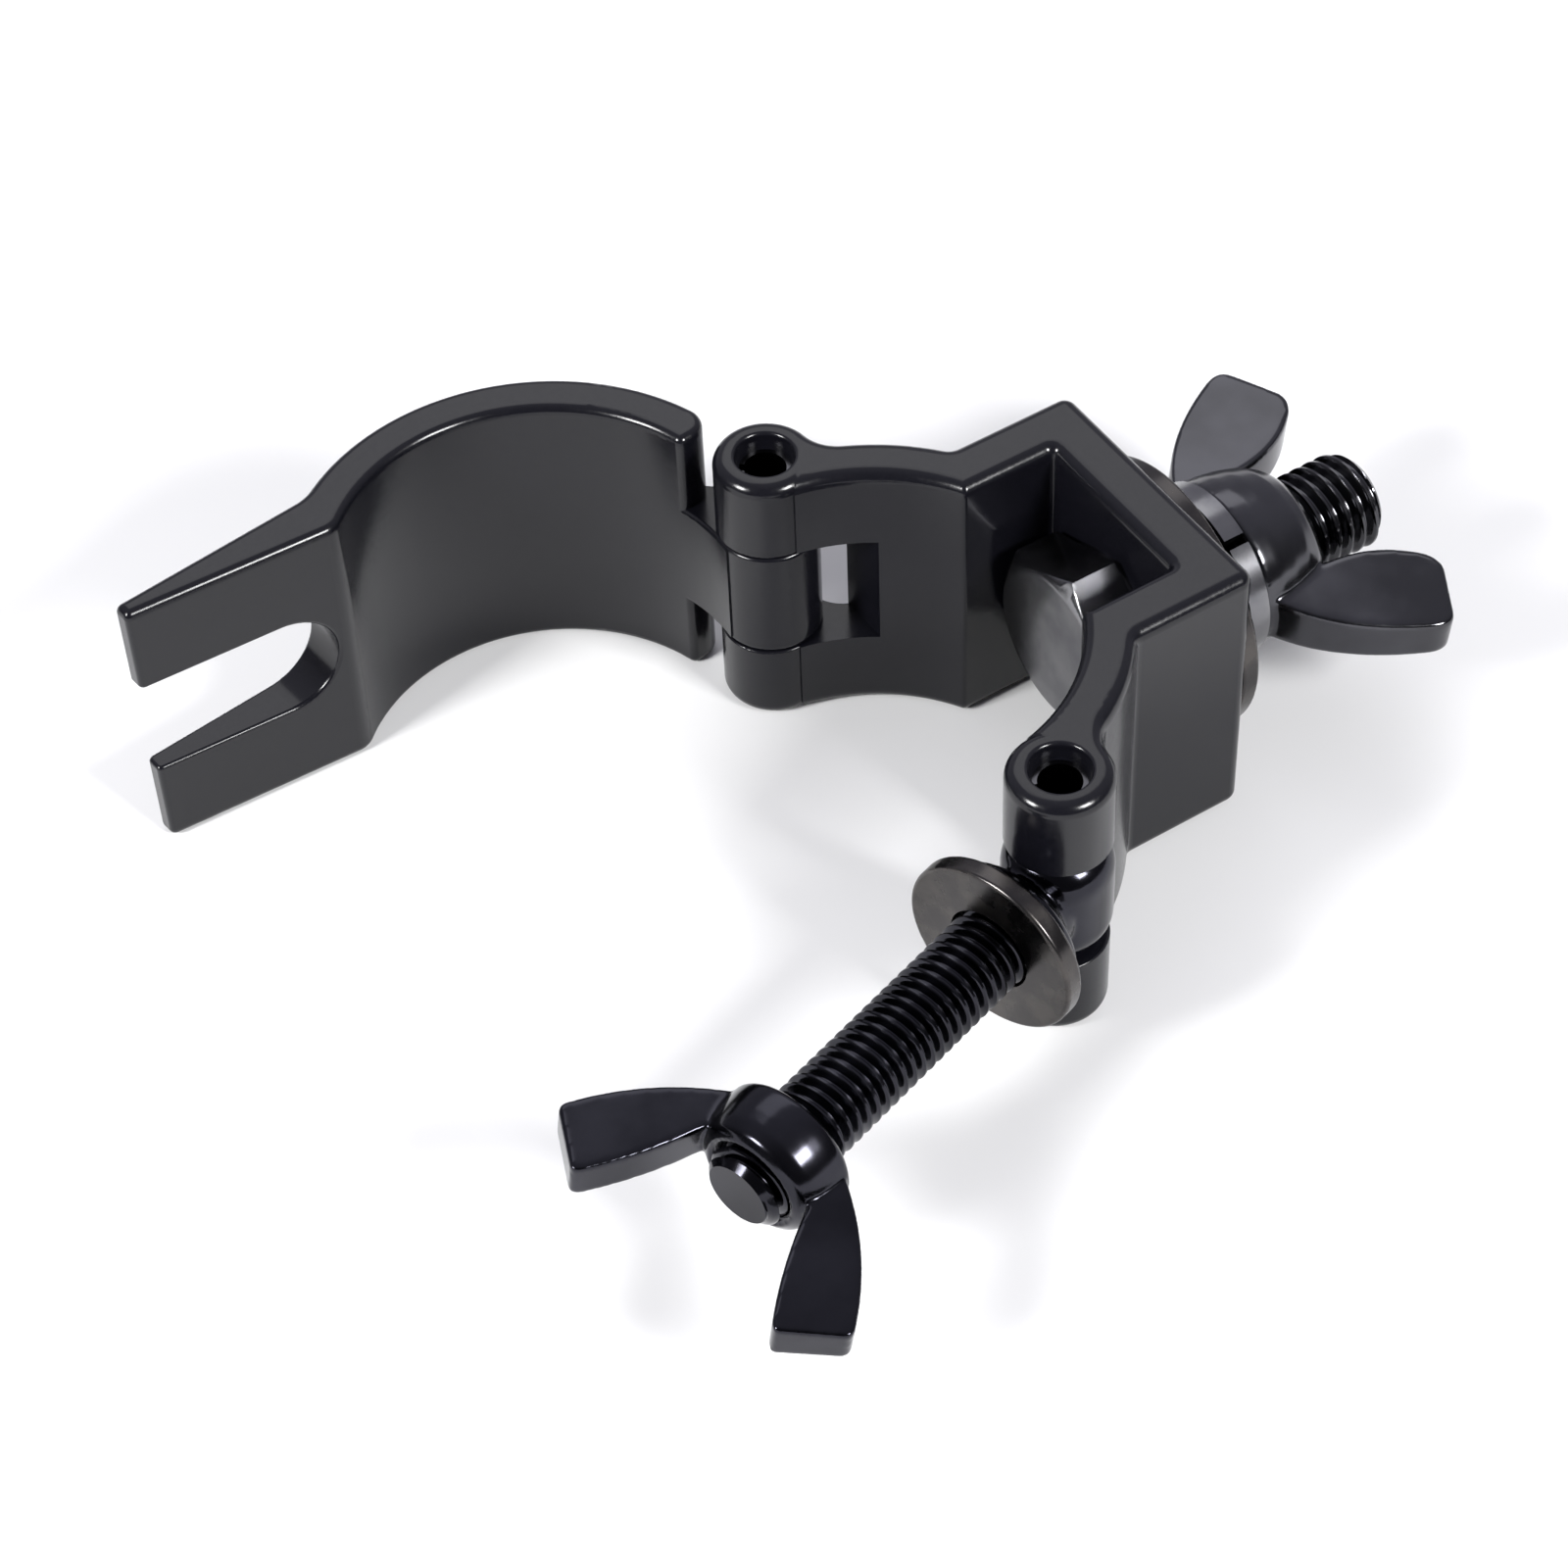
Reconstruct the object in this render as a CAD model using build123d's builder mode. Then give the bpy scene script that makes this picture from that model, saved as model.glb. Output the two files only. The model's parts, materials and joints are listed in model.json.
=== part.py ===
from build123d import *
from math import cos, radians, sin, sqrt
import os

# A hinged clamp for a lighting or truss tube, lying on its side with its jaw swung open.
# The origin is on the axis of the closed tube seat, in the lower side face. +X runs along
# the main bolt, away from the tube, +Y points at the jaw's hinge and +Z along the tube.
# The jaw turns about one pin and the swing bolt about the other. To clamp a tube the jaw
# closes over it, the bolt swings into the jaw's fork and the wing nut pulls the fork in.

# ---- Driving dimensions, millimetres and degrees ----
TUBE_DIAMETER = 38.0
SEAT_GAP = 0.25             # radial room between the tube and the closed seat
WIDTH = 31.0                # along the tube
BASE_WALL = 4.85            # the base's arms, outside the seat
JAW_WALL = 4.35
EDGE_RADIUS = 1.3           # rounding of the base's side faces
JAW_EDGE_RADIUS = 0.9
EAR_FACE_RADIUS = 0.2       # rounding of the ears' faces in a hinge's gap
SMALL_EDGE_RADIUS = 0.4     # rounding of the tongue, the slot and the washers

HINGE_X = 4.0               # both hinge axes, from the tube's axis
KNUCKLE_RADIUS = 5.0
KNUCKLE_RELIEF = 0.08       # between a knuckle and the tube seat
EAR_GAP = 13.0              # between the two ears of a hinge
EAR_SLOT_ROOM = 2.2         # between a knuckle and the inner end of the ears' gap
EAR_BLEND = 4.0             # hollow corner between an ear and its arm
KNUCKLE_END_GAP = 0.25      # beside the moving knuckle, on each side

PIN_RADIUS = 2.5
PIN_WALL = 0.45
PIN_SPLIT = 0.9             # the gap along a sprung pin
JAW_PIN_SPLIT_ANGLE = 145.0
SWING_PIN_SPLIT_ANGLE = 167.0
PIN_INSET = 1.75            # how far a pin's ends lie inside the ears
PIN_PRESS_GAP = 0.02
PIN_RUNNING_GAP = 0.05
PIN_MOUTH_GAP = 0.35        # the wider mouth of a pin's hole, round the pin

HEX_ACROSS_FLATS = 17.0
HEX_HEIGHT = 6.4
HEX_WASHER_FACE = 0.6       # round raised face under the head
HEX_CHAMFER = 0.3           # the round front face, inside the flats
HEX_CHAMFER_ANGLE = -62.0
HEX_TURN = 10.0             # the head's turn from square in its channel
HEX_TO_TUBE = 1.25          # between the bolt's head and the tube seat
CHANNEL_SIDE_GAP = 0.12
CHANNEL_CORNER_RADIUS = 0.5
BOX_SIDE_WALL = 5.5
BOX_END_WALL = 5.6
BOX_CORNER_RADIUS = 1.4

MAIN_RADIUS = 5.0           # M10
MAIN_LENGTH = 30.0          # under the head
MAIN_HOLE_GAP = 0.25
SWING_RADIUS = 4.0          # M8
SWING_LENGTH = 44.5         # from the pin's axis to the bolt's end
SWING_ANGLE = 197.07        # direction of the swing bolt at rest
THREAD_GAP = 0.05           # a plain stand-in for the thread's fit
BOLT_END_CHAMFER = 1.0

EYE_PROUD = 0.2             # the eye's radius over a knuckle's
EYE_ROUNDING = 3.2
NECK_WALL = 0.4             # the neck's radius over the shank's
COLLAR_WALL = 3.5           # the collar's radius over the shank's
COLLAR_ROOM = 1.0           # between the ears and the collar
COLLAR_LENGTH = 2.0
COLLAR_SLOPE = 1.4          # the cone from the neck to the collar

WASHER_GAP = 0.3            # radial, washer to bolt
SWING_WASHER_RADIUS = 9.0
SWING_WASHER_THICKNESS = 2.0
FLAT_WASHER_RADIUS = 14.0
FLAT_WASHER_THICKNESS = 2.0
SPRING_WASHER_RADIUS = 9.0
SPRING_WASHER_THICKNESS = 2.2
SPRING_SPLIT = 1.0
SPRING_SPLIT_ANGLE = 120.0  # where the split lies round the bolt
MAIN_PLAY = 2.8             # how far the main nut is backed off

JAW_OPEN = 83.1             # how far the jaw is swung open at rest
SHOULDER_X = 2.6            # the jaw's shoulder, from the tube's axis, jaw closed
SHOULDER_OUTER_RADIUS = 2.4
SHOULDER_INNER_RADIUS = 0.8
TONGUE_ANGLE = 60.0         # where the tongue's outer face meets its knuckle
TONGUE_OVERLAP = 2.0        # into the jaw's shoulder
FORK_SEAT_OFFSET = 1.15     # the fork's outer face, outside the seat's radius
FORK_ROOT_STEP = 0.15       # from where the fork's outer face leaves the ring to its root
FORK_REACH = 9.3            # the fork's tips, past the swing bolt's axis
FORK_TIP_THICKNESS = 2.1
FORK_TIP_RADIUS = 0.6
FORK_SLOT_GAP = 1.5         # on each side of the swing bolt
FORK_SLOT_DEPTH = 5.0       # the slot's round end, past the bolt's axis
FORK_ROOT_RADIUS = 2.4
FORK_HEEL_RADIUS = 5.0
FORK_SLOT_END = 4.0         # the slot's cut stops this far outside the shoulder

# A wing's outline is given by points at its root, its middle and its tip, each as (outside
# the thread, above the nut's seat): first its back edge, then its front edge.
SWING_NUT_BASE = 37.0       # the nut's seat, from the pin's axis
SWING_NUT_TILT = -8.5       # the wings' turn round the bolt
SWING_NUT_FOOT_WALL = 2.6
SWING_NUT_CROWN_WALL = 1.8
SWING_NUT_HUB_HEIGHT = 5.9
SWING_WING_BACK = ((2.0, 0.7), (8.0, 5.6), (12.5, 12.1))
SWING_WING_FRONT = ((1.6, 5.0), (4.0, 11.0), (7.1, 16.4))
SWING_WING_THICKNESS = 3.8
MAIN_NUT_TILT = 6.0
MAIN_NUT_FOOT_WALL = 3.6
MAIN_NUT_CROWN_WALL = 2.0
MAIN_NUT_HUB_HEIGHT = 8.6
MAIN_WING_BACK = ((2.8, 0.7), (9.2, 5.8), (14.2, 14.4))
MAIN_WING_FRONT = ((1.7, 7.0), (3.1, 13.4), (7.2, 18.2))
MAIN_WING_THICKNESS = 4.7
WING_EDGE_RADIUS = 1.0
WING_TIP_RADIUS = 1.6

# ---- Derived places ----
seat_radius = TUBE_DIAMETER / 2 + SEAT_GAP
arm_radius = seat_radius + BASE_WALL
jaw_radius = seat_radius + JAW_WALL
hinge_y = sqrt((seat_radius + KNUCKLE_RADIUS + KNUCKLE_RELIEF) ** 2 - HINGE_X ** 2)
mid_z = WIDTH / 2
knuckle_height = EAR_GAP - 2 * KNUCKLE_END_GAP
hex_corner = HEX_ACROSS_FLATS / 2 / cos(radians(30))
channel_half = hex_corner * cos(radians(30 - HEX_TURN)) + CHANNEL_SIDE_GAP
channel_floor = seat_radius + HEX_TO_TUBE + HEX_HEIGHT
box_half = channel_half + BOX_SIDE_WALL
box_face = channel_floor + BOX_END_WALL
fork_face = seat_radius + FORK_SEAT_OFFSET
fork_tip_y = hinge_y + FORK_REACH
fork_heel_y = sqrt(jaw_radius ** 2 - fork_face ** 2)
fork_root_y = fork_heel_y + FORK_ROOT_STEP
slot_half = SWING_RADIUS + FORK_SLOT_GAP
through = 2 * (box_face + MAIN_LENGTH)
ear_slot_x = HINGE_X + KNUCKLE_RADIUS + EAR_SLOT_ROOM
mouth_radius = PIN_RADIUS + PIN_MOUTH_GAP
mouth_wall = KNUCKLE_RADIUS - EDGE_RADIUS - mouth_radius
mouth_rounding = min(SMALL_EDGE_RADIUS, mouth_wall / 2)
eye_radius = KNUCKLE_RADIUS + EYE_PROUD
neck_radius = SWING_RADIUS + NECK_WALL
collar_radius = SWING_RADIUS + COLLAR_WALL
collar_start = KNUCKLE_RADIUS + COLLAR_ROOM
collar_end = collar_start + COLLAR_LENGTH

# ---- Frames ----
jaw_turn = radians(-JAW_OPEN)
jaw_centre = (
    HINGE_X - HINGE_X * cos(jaw_turn) + hinge_y * sin(jaw_turn),
    hinge_y - HINGE_X * sin(jaw_turn) - hinge_y * cos(jaw_turn),
)
jaw_x = (cos(jaw_turn), sin(jaw_turn), 0)
jaw_y = (-sin(jaw_turn), cos(jaw_turn), 0)
jaw_plane = Plane(origin=(jaw_centre[0], jaw_centre[1], 0), x_dir=jaw_x, z_dir=(0, 0, 1))
fork_plane = Plane(origin=(jaw_centre[0], jaw_centre[1], mid_z), x_dir=jaw_y, z_dir=jaw_x)
swing_axis = (cos(radians(SWING_ANGLE)), sin(radians(SWING_ANGLE)), 0)
swing_side = (-swing_axis[1], swing_axis[0], 0)
swing_plane = Plane(origin=(HINGE_X, -hinge_y, mid_z), x_dir=swing_side, z_dir=swing_axis)
main_plane = Plane(origin=(0, 0, mid_z), x_dir=(0, 1, 0), z_dir=(1, 0, 0))


def turned_plane(plane, tilt):
    """The same bolt frame, turned round the bolt's axis by tilt degrees."""
    side = plane.x_dir * cos(radians(tilt)) + plane.y_dir * sin(radians(tilt))
    return Plane(origin=plane.origin, x_dir=side, z_dir=plane.z_dir)


def lengthwise(plane):
    """A bolt frame's side plane: local X across the bolt, local Y along it."""
    return Plane(origin=plane.origin, x_dir=plane.x_dir, z_dir=plane.x_dir.cross(plane.z_dir))


def circles_of(builder, radius):
    """The round edges of this radius in the part being built."""
    rounds = builder.edges().filter_by(GeomType.CIRCLE)
    return rounds.filter_by(lambda e: abs(e.radius - radius) < 0.01)


def on_ear_face(z):
    """Whether this height is that of an ear's face in a hinge's gap."""
    return abs(abs(z - mid_z) - EAR_GAP / 2) < 0.01


# ---- Base casting: the box that holds the bolt's head, two arms and four ears ----
with BuildPart() as base_casting:
    with BuildSketch() as base_outline:
        Circle(arm_radius)
        with Locations((HINGE_X - through / 2, 0)):
            Rectangle(through, through, mode=Mode.SUBTRACT)
        with Locations((channel_floor / 2 + box_face / 2, 0)):
            Rectangle(box_face - channel_floor, 2 * box_half)
        with Locations((box_face / 2 + HINGE_X / 2, 0)):
            Rectangle(box_face - HINGE_X, 2 * box_half)
        with Locations((HINGE_X, hinge_y), (HINGE_X, -hinge_y)):
            Circle(KNUCKLE_RADIUS)
        Circle(seat_radius, mode=Mode.SUBTRACT)
        with Locations((channel_floor / 2, 0)):
            Rectangle(channel_floor, 2 * channel_half, mode=Mode.SUBTRACT)
        corners = base_outline.vertices()
        ear_meets_arm = corners.filter_by(lambda v: v.X > HINGE_X and abs(v.Y) > box_half + 1)
        fillet(ear_meets_arm.group_by(Axis.X)[-1], EAR_BLEND)
        corners = base_outline.vertices()
        fillet(corners.filter_by(lambda v: v.X > box_face - 0.1), BOX_CORNER_RADIUS)
        corners = base_outline.vertices()
        fillet(corners.filter_by(lambda v: abs(abs(v.Y) - channel_half) < 0.1), CHANNEL_CORNER_RADIUS)
        corners = base_outline.vertices()
        fillet(corners.filter_by(lambda v: abs(abs(v.Y) - box_half) < 0.1 and v.X < channel_floor), BOX_CORNER_RADIUS)
    extrude(amount=WIDTH)
    side_edges = base_casting.edges().group_by(Axis.Z)
    fillet(side_edges[0] + side_edges[-1], EDGE_RADIUS)
    for side in (1, -1):
        with BuildSketch(Plane.XY.offset(mid_z - EAR_GAP / 2)):
            with Locations((ear_slot_x - through / 2, side * (channel_half + through / 2))):
                Rectangle(through, through)
        extrude(amount=EAR_GAP, mode=Mode.SUBTRACT)
        with BuildSketch():
            with Locations((HINGE_X, side * hinge_y)):
                Circle(PIN_RADIUS + PIN_PRESS_GAP)
        extrude(amount=WIDTH, mode=Mode.SUBTRACT)
        for mouth_z in (0, WIDTH - PIN_INSET):
            with BuildSketch(Plane.XY.offset(mouth_z)):
                with Locations((HINGE_X, side * hinge_y)):
                    Circle(mouth_radius)
            extrude(amount=PIN_INSET, mode=Mode.SUBTRACT)
    with BuildSketch(main_plane):
        Circle(MAIN_RADIUS + MAIN_HOLE_GAP)
    extrude(amount=through, mode=Mode.SUBTRACT)
    outer_mouths = circles_of(base_casting, mouth_radius).group_by(Axis.Z)
    fillet(outer_mouths[0] + outer_mouths[-1], mouth_rounding)
    ear_rounds = circles_of(base_casting, KNUCKLE_RADIUS)
    fillet(ear_rounds.filter_by(lambda e: on_ear_face(e.center().Z)), EAR_FACE_RADIUS)
base_casting.part.label = "base_casting"

def in_fork_slot(point):
    """Whether a point is on the slot's outline in the fork's outer face."""
    local = jaw_plane.to_local_coords(point)
    near_bolt = abs(local.Z - mid_z) < slot_half + 0.01
    return near_bolt and local.Y < -fork_root_y and abs(local.X + fork_face) < 0.01


# ---- Jaw: half ring with a hinge knuckle at one end and an open fork at the other ----
with BuildPart() as jaw:
    with BuildSketch(jaw_plane.offset(mid_z - knuckle_height / 2)) as tongue:
        with BuildLine():
            Polyline(
                (-SHOULDER_X - TONGUE_OVERLAP, seat_radius - TONGUE_OVERLAP),
                (-SHOULDER_X - TONGUE_OVERLAP, jaw_radius - 1),
                (
                    HINGE_X - KNUCKLE_RADIUS * cos(radians(TONGUE_ANGLE)),
                    hinge_y + KNUCKLE_RADIUS * sin(radians(TONGUE_ANGLE)),
                ),
                (HINGE_X, hinge_y),
                (HINGE_X, seat_radius - TONGUE_OVERLAP),
                close=True,
            )
        make_face()
        with Locations((HINGE_X, hinge_y)):
            Circle(KNUCKLE_RADIUS)
        Circle(seat_radius, mode=Mode.SUBTRACT)
    extrude(amount=knuckle_height)
    tongue_ends = jaw.edges().group_by(Axis.Z)
    fillet(tongue_ends[0] + tongue_ends[-1], SMALL_EDGE_RADIUS)
    with BuildSketch(jaw_plane) as jaw_outline:
        Circle(jaw_radius)
        with Locations((through / 2 - SHOULDER_X, 0)):
            Rectangle(through, through, mode=Mode.SUBTRACT)
        with Locations((0, -fork_root_y - through / 2)):
            Rectangle(through, through, mode=Mode.SUBTRACT)
        with BuildLine():
            Polyline(
                (-fork_face, -fork_heel_y),
                (-fork_face, -fork_tip_y),
                (-fork_face + FORK_TIP_THICKNESS, -fork_tip_y),
                (-sqrt(seat_radius ** 2 - fork_root_y ** 2), -fork_root_y),
                (-seat_radius, -fork_heel_y + 1),
                close=True,
            )
        make_face()
        Circle(seat_radius, mode=Mode.SUBTRACT)
        corners = jaw_outline.vertices()
        root_corner = (-sqrt(seat_radius ** 2 - fork_root_y ** 2), -fork_root_y, 0)
        fillet(corners.sort_by_distance(root_corner)[0], FORK_ROOT_RADIUS)
        corners = jaw_outline.vertices()
        fillet(corners.sort_by_distance((-fork_face, -fork_heel_y, 0))[0], FORK_HEEL_RADIUS)
        corners = jaw_outline.vertices()
        shoulder = corners.filter_by(lambda v: abs(v.X + SHOULDER_X) < 0.01).sort_by(Axis.Y)
        fillet(shoulder[-1], SHOULDER_OUTER_RADIUS)
        corners = jaw_outline.vertices()
        shoulder = corners.filter_by(lambda v: abs(v.X + SHOULDER_X) < 0.01).sort_by(Axis.Y)
        fillet(shoulder[0], SHOULDER_INNER_RADIUS)
        corners = jaw_outline.vertices()
        fillet(corners.group_by(Axis.Y)[0], FORK_TIP_RADIUS)
    extrude(amount=WIDTH)
    side_edges = jaw.edges().group_by(Axis.Z)
    fillet(side_edges[0] + side_edges[-1], JAW_EDGE_RADIUS)
    with BuildSketch(jaw_plane):
        with Locations((HINGE_X, hinge_y)):
            Circle(PIN_RADIUS + PIN_RUNNING_GAP)
    extrude(amount=WIDTH, mode=Mode.SUBTRACT)
    with BuildSketch(fork_plane.offset(-jaw_radius - 1)) as fork_slot:
        with Locations((-hinge_y + FORK_SLOT_DEPTH, 0)):
            Circle(slot_half)
        with Locations((-hinge_y + FORK_SLOT_DEPTH - through / 2, 0)):
            Rectangle(through, 2 * slot_half)
    extrude(amount=jaw_radius - SHOULDER_X - FORK_SLOT_END, mode=Mode.SUBTRACT)
    slot_rim = jaw.edges().filter_by(lambda e: in_fork_slot(e.center()))
    fillet(slot_rim, SMALL_EDGE_RADIUS)
jaw.part.label = "jaw"


# ---- Sprung pins: rolled from strip, so each has a split along its length ----
def hinge_pin(y, split_angle, label):
    with BuildPart() as pin:
        with BuildSketch(Plane((HINGE_X, y, PIN_INSET), x_dir=(1, 0, 0), z_dir=(0, 0, 1))):
            Circle(PIN_RADIUS)
            Circle(PIN_RADIUS - PIN_WALL, mode=Mode.SUBTRACT)
            with Locations(Location((0, 0), split_angle)):
                with Locations((PIN_RADIUS, 0)):
                    Rectangle(2 * PIN_RADIUS, PIN_SPLIT, mode=Mode.SUBTRACT)
        extrude(amount=WIDTH - 2 * PIN_INSET)
    pin.part.label = label
    return pin


jaw_pin = hinge_pin(hinge_y, JAW_PIN_SPLIT_ANGLE, "jaw_hinge_pin")
swing_pin = hinge_pin(-hinge_y, SWING_PIN_SPLIT_ANGLE, "swing_hinge_pin")

# ---- Main bolt: its head is held from turning by the channel's sides ----
with BuildPart() as main_bolt:
    with BuildSketch(turned_plane(main_plane, HEX_TURN).offset(channel_floor - HEX_HEIGHT)):
        RegularPolygon(hex_corner, 6, rotation=30)
    extrude(amount=HEX_HEIGHT - HEX_WASHER_FACE)
    with BuildSketch(main_plane.offset(channel_floor - HEX_HEIGHT)):
        Circle(HEX_ACROSS_FLATS / 2 - HEX_CHAMFER)
    extrude(amount=HEX_HEIGHT, taper=HEX_CHAMFER_ANGLE, mode=Mode.INTERSECT)
    with BuildSketch(main_plane.offset(channel_floor - HEX_WASHER_FACE)):
        Circle(HEX_ACROSS_FLATS / 2 - HEX_CHAMFER)
    extrude(amount=HEX_WASHER_FACE)
    with BuildSketch(main_plane.offset(channel_floor)):
        Circle(MAIN_RADIUS)
    extrude(amount=MAIN_LENGTH)
    chamfer(main_bolt.edges().group_by(Axis.X)[-1], BOLT_END_CHAMFER)
main_bolt.part.label = "main_bolt"

# ---- Swing bolt: a rounded eye, a neck, a collar and the threaded shank ----
with BuildPart() as swing_bolt:
    with BuildSketch(Plane((HINGE_X, -hinge_y, mid_z - knuckle_height / 2), z_dir=(0, 0, 1))):
        Circle(eye_radius)
    extrude(amount=knuckle_height)
    fillet(swing_bolt.edges().filter_by(GeomType.CIRCLE), EYE_ROUNDING)
    with BuildSketch(lengthwise(swing_plane)) as half_bolt:
        with BuildLine():
            Polyline(
                (0, 0),
                (neck_radius, 0),
                (neck_radius, collar_start + SMALL_EDGE_RADIUS - COLLAR_SLOPE),
                (collar_radius - SMALL_EDGE_RADIUS, collar_start + SMALL_EDGE_RADIUS),
                (collar_radius, collar_start + 2 * SMALL_EDGE_RADIUS),
                (collar_radius, collar_end),
                (SWING_RADIUS, collar_end),
                (SWING_RADIUS, SWING_LENGTH - BOLT_END_CHAMFER),
                (SWING_RADIUS - BOLT_END_CHAMFER, SWING_LENGTH),
                (0, SWING_LENGTH),
                close=True,
            )
        make_face()
    revolve(axis=Axis(swing_plane.origin, swing_plane.z_dir))
    with BuildSketch(Plane((HINGE_X, -hinge_y, 0), z_dir=(0, 0, 1))):
        Circle(PIN_RADIUS + PIN_RUNNING_GAP)
    extrude(amount=WIDTH, mode=Mode.SUBTRACT)
swing_bolt.part.label = "swing_bolt"


# ---- Washers ----
def flat_washer(plane, seat, radius, bore, thickness, label):
    with BuildPart() as washer:
        with BuildSketch(plane.offset(seat)):
            Circle(radius)
            Circle(bore, mode=Mode.SUBTRACT)
        extrude(amount=thickness)
        fillet(circles_of(washer, radius), SMALL_EDGE_RADIUS)
    washer.part.label = label
    return washer


swing_bore = SWING_RADIUS + WASHER_GAP
main_bore = MAIN_RADIUS + WASHER_GAP
swing_washer = flat_washer(
    swing_plane, collar_end, SWING_WASHER_RADIUS, swing_bore, SWING_WASHER_THICKNESS, "swing_washer"
)
main_washer = flat_washer(
    main_plane, box_face, FLAT_WASHER_RADIUS, main_bore, FLAT_WASHER_THICKNESS, "main_flat_washer"
)

# The spring washer waits against the backed-off nut, MAIN_PLAY away from the flat washer.
spring_seat = box_face + FLAT_WASHER_THICKNESS + MAIN_PLAY
with BuildPart() as spring_washer:
    with BuildSketch(main_plane.offset(spring_seat)):
        Circle(SPRING_WASHER_RADIUS)
        Circle(main_bore, mode=Mode.SUBTRACT)
        with Locations(Location((0, 0), SPRING_SPLIT_ANGLE)):
            with Locations((SPRING_WASHER_RADIUS, 0)):
                Rectangle(2 * SPRING_WASHER_RADIUS, SPRING_SPLIT, mode=Mode.SUBTRACT)
    extrude(amount=SPRING_WASHER_THICKNESS)
spring_washer.part.label = "main_spring_washer"


# ---- Wing nuts: a low round hub and two thick wings that sweep out and forward ----
def wing_nut(frame, bolt_radius, foot_wall, crown_wall, hub_height, back, front, thickness, label):
    with BuildPart() as nut:
        for side in (1, -1):
            edges = []
            for edge in (back, front):
                edges.append([(side * (bolt_radius + outside), above) for outside, above in edge])
            (back_root, back_mid, back_tip), (front_root, front_mid, front_tip) = edges
            with BuildSketch(lengthwise(frame)) as wing:
                with BuildLine():
                    ThreePointArc(back_root, back_mid, back_tip)
                    Line(back_tip, front_tip)
                    ThreePointArc(front_tip, front_mid, front_root)
                    Line(front_root, back_root)
                make_face()
                fillet(wing.vertices().sort_by_distance(frame.origin)[2:], WING_TIP_RADIUS)
            extrude(amount=thickness / 2, both=True)
        fillet(nut.edges(), WING_EDGE_RADIUS)
        with BuildSketch(frame):
            Circle(bolt_radius + foot_wall)
        with BuildSketch(frame.offset(hub_height)):
            Circle(bolt_radius + crown_wall)
        loft()
        with BuildSketch(frame):
            Circle(bolt_radius + THREAD_GAP)
        extrude(amount=hub_height + WING_TIP_RADIUS, mode=Mode.SUBTRACT)
    nut.part.label = label
    return nut


swing_nut = wing_nut(
    turned_plane(swing_plane, SWING_NUT_TILT).offset(SWING_NUT_BASE),
    SWING_RADIUS,
    SWING_NUT_FOOT_WALL,
    SWING_NUT_CROWN_WALL,
    SWING_NUT_HUB_HEIGHT,
    SWING_WING_BACK,
    SWING_WING_FRONT,
    SWING_WING_THICKNESS,
    "swing_wing_nut",
)
main_nut = wing_nut(
    turned_plane(main_plane, MAIN_NUT_TILT).offset(spring_seat + SPRING_WASHER_THICKNESS),
    MAIN_RADIUS,
    MAIN_NUT_FOOT_WALL,
    MAIN_NUT_CROWN_WALL,
    MAIN_NUT_HUB_HEIGHT,
    MAIN_WING_BACK,
    MAIN_WING_FRONT,
    MAIN_WING_THICKNESS,
    "main_wing_nut",
)

# ---- One STEP file for each piece, named as its label ----
os.makedirs("parts", exist_ok=True)
pieces = (
    base_casting,
    jaw,
    jaw_pin,
    swing_pin,
    main_bolt,
    swing_bolt,
    swing_washer,
    swing_nut,
    main_washer,
    spring_washer,
    main_nut,
)
for piece in pieces:
    export_step(piece.part, f"parts/{piece.part.label}.step")
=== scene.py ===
# %% [markdown]
# # A hinged tube clamp
#
# This lesson dresses a clamp for a lighting tube. It lies on its side with the jaw swung
# open. The base and the jaw are aluminium castings with a black powder coat, and the bolts,
# nuts and pins are steel with a glossy black zinc plate.
#
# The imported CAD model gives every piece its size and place. Blender adds what CAD leaves
# plain: the threads, the forged shapes of the nuts and the eye bolt, and the finishes.

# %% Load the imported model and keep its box
import bmesh
import bpy
import json
from math import cos, pi, radians, sin, tan
from mathutils import Matrix, Quaternion, Vector


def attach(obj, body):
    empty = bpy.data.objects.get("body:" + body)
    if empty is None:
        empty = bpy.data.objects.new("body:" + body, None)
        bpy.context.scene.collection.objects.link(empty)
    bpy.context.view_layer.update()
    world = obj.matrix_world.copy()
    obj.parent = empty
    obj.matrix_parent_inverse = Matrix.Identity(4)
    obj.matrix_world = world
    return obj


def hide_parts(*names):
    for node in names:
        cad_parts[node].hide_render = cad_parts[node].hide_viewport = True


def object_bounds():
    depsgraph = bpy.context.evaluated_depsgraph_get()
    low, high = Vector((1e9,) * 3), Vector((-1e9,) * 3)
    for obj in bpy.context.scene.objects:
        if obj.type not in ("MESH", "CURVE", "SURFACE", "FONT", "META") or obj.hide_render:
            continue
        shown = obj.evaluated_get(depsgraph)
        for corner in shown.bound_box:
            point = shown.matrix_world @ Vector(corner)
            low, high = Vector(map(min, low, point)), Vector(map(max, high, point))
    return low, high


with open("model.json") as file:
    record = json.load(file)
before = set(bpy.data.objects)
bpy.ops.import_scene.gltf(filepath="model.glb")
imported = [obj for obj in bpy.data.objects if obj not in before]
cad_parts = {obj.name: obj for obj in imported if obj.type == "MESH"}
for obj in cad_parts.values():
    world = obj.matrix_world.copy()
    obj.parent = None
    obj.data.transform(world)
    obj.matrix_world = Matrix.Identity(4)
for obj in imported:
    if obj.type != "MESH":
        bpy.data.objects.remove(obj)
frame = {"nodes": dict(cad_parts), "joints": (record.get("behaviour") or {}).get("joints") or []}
cad_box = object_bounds()
MM = 0.001
print("CAD box, mm:", [round(v / MM, 1) for corner in cad_box for v in corner])

# %% [markdown]
# ## Frames for the two bolts
#
# Each bolt has its own frame: Z runs along the bolt and X lies level across it. The places
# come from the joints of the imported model, so a bolt that moves in CAD moves here too.

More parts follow.
